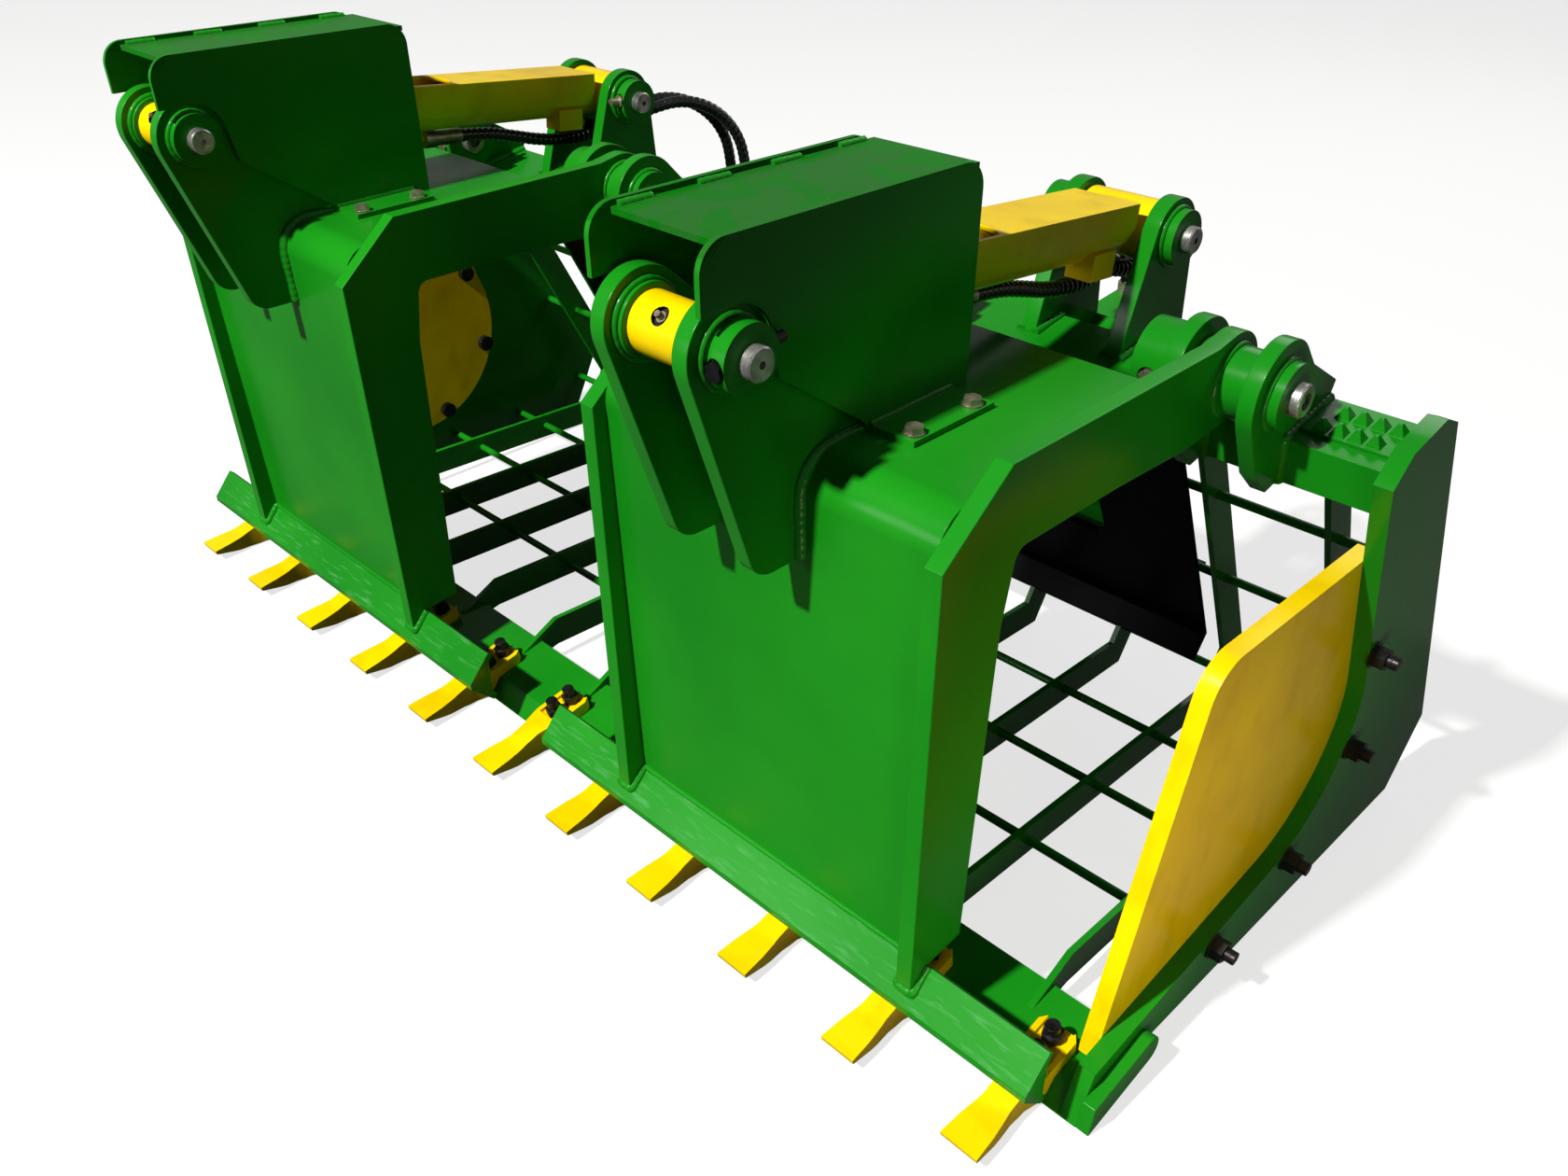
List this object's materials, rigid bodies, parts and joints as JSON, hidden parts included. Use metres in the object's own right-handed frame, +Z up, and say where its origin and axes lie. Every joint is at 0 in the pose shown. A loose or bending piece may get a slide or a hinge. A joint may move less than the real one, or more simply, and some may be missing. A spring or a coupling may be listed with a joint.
{
  "type": "skeleton grapple bucket",
  "caption": "Open skeleton bucket of flat bars and rods for a loader, with bolt-on teeth, side cutters and two hydraulic grapple arms.",
  "frame": {"origin": "on the ground under the middle of the whole bucket's bounding box", "axes": "+X along the bucket from its left end to its right end, +Y from the teeth to the back, +Z up"},
  "size_m": [1.858, 0.966, 0.8846],
  "materials": {
    "green_paint": "gloss",
    "yellow_paint": "gloss",
    "dark_paint": "gloss",
    "black_steel": "black oxide",
    "bright_steel": "zinc plated",
    "chrome": "polished",
    "rubber": "braided cover"
  },
  "bodies": {
    "bucket": {"end_plate_left": "green_paint", "end_plate_right": "green_paint", "side_cutter_left": "yellow_paint", "side_cutter_right": "yellow_paint", "cutter_bolts": "black_steel", "wear_shoes": "green_paint", "cutting_edge": "green_paint", "bucket_teeth": "yellow_paint", "tooth_bolts": "black_steel", "top_beam": "green_paint", "grip_treads": "dark_paint", "cross_rods": "green_paint", "floor_ribs": "green_paint", "back_ribs": "green_paint", "liner_plate": "dark_paint", "quick_attach_plate": "green_paint", "hinge_lugs": "green_paint", "hinge_pins": "bright_steel", "tower_lugs": "green_paint", "tower_pins": "bright_steel", "pin_collars": "green_paint", "hose_bracket": "green_paint", "hose_couplers": "bright_steel", "rear_hose_left": "rubber", "front_hose_left": "rubber", "rear_hose_right": "rubber", "front_hose_right": "rubber"},
    "grapple_left": {"arm_plate_outer_left": "green_paint", "arm_plate_inner_left": "green_paint", "face_plate_left": "green_paint", "grapple_lip_left": "green_paint", "front_lugs_left": "green_paint", "cylinder_cover_left": "green_paint", "cover_bolts_left": "bright_steel", "front_collars_left": "green_paint", "front_pin_left": "bright_steel"},
    "cylinder_left": {"barrel_left": "yellow_paint", "barrel_guard_left": "yellow_paint", "barrel_ports_left": "yellow_paint", "gland_left": "black_steel"},
    "rod_left": {"rod_left": "chrome", "piston_left": "bright_steel", "rod_eye_left": "yellow_paint"},
    "grapple_right": {"arm_plate_outer_right": "green_paint", "arm_plate_inner_right": "green_paint", "face_plate_right": "green_paint", "grapple_lip_right": "green_paint", "front_lugs_right": "green_paint", "cylinder_cover_right": "green_paint", "cover_bolts_right": "bright_steel", "front_collars_right": "green_paint", "front_pin_right": "bright_steel"},
    "cylinder_right": {"barrel_right": "yellow_paint", "barrel_guard_right": "yellow_paint", "barrel_ports_right": "yellow_paint", "gland_right": "black_steel"},
    "rod_right": {"rod_right": "chrome", "piston_right": "bright_steel", "rod_eye_right": "yellow_paint"}
  },
  "joints": [
    {"name": "grapple_swing_left", "type": "hinge", "parent": "bucket", "child": "grapple_left", "pos_m": [-0.4784, 0.087, 0.653], "axis": [-1, 0, 0], "range_deg": [0, 48]},
    {"name": "cylinder_pivot_left", "type": "hinge", "parent": "bucket", "child": "cylinder_left", "pos_m": [-0.4784, 0.243, 0.723], "axis": [-1, 0, 0], "range_deg": [0, 40], "deforming": ["rear_hose_left", "front_hose_left"]},
    {"name": "rod_pivot_left", "type": "hinge", "parent": "grapple_left", "child": "rod_left", "pos_m": [-0.4784, -0.437, 0.787], "axis": [-1, 0, 0], "range_deg": [-9, 0]},
    {"name": "grapple_swing_right", "type": "hinge", "parent": "bucket", "child": "grapple_right", "pos_m": [0.4784, 0.087, 0.653], "axis": [-1, 0, 0], "range_deg": [0, 48]},
    {"name": "cylinder_pivot_right", "type": "hinge", "parent": "bucket", "child": "cylinder_right", "pos_m": [0.4784, 0.243, 0.723], "axis": [-1, 0, 0], "range_deg": [0, 40], "deforming": ["rear_hose_right", "front_hose_right"]},
    {"name": "rod_pivot_right", "type": "hinge", "parent": "grapple_right", "child": "rod_right", "pos_m": [0.4784, -0.437, 0.787], "axis": [-1, 0, 0], "range_deg": [-9, 0]}
  ],
  "couplings": [
    {"joint": "cylinder_pivot_left", "follows": "grapple_swing_left", "ratio": 0.819},
    {"joint": "rod_pivot_left", "follows": "grapple_swing_left", "ratio": -0.181},
    {"joint": "cylinder_pivot_right", "follows": "grapple_swing_right", "ratio": 0.819},
    {"joint": "rod_pivot_right", "follows": "grapple_swing_right", "ratio": -0.181}
  ]
}
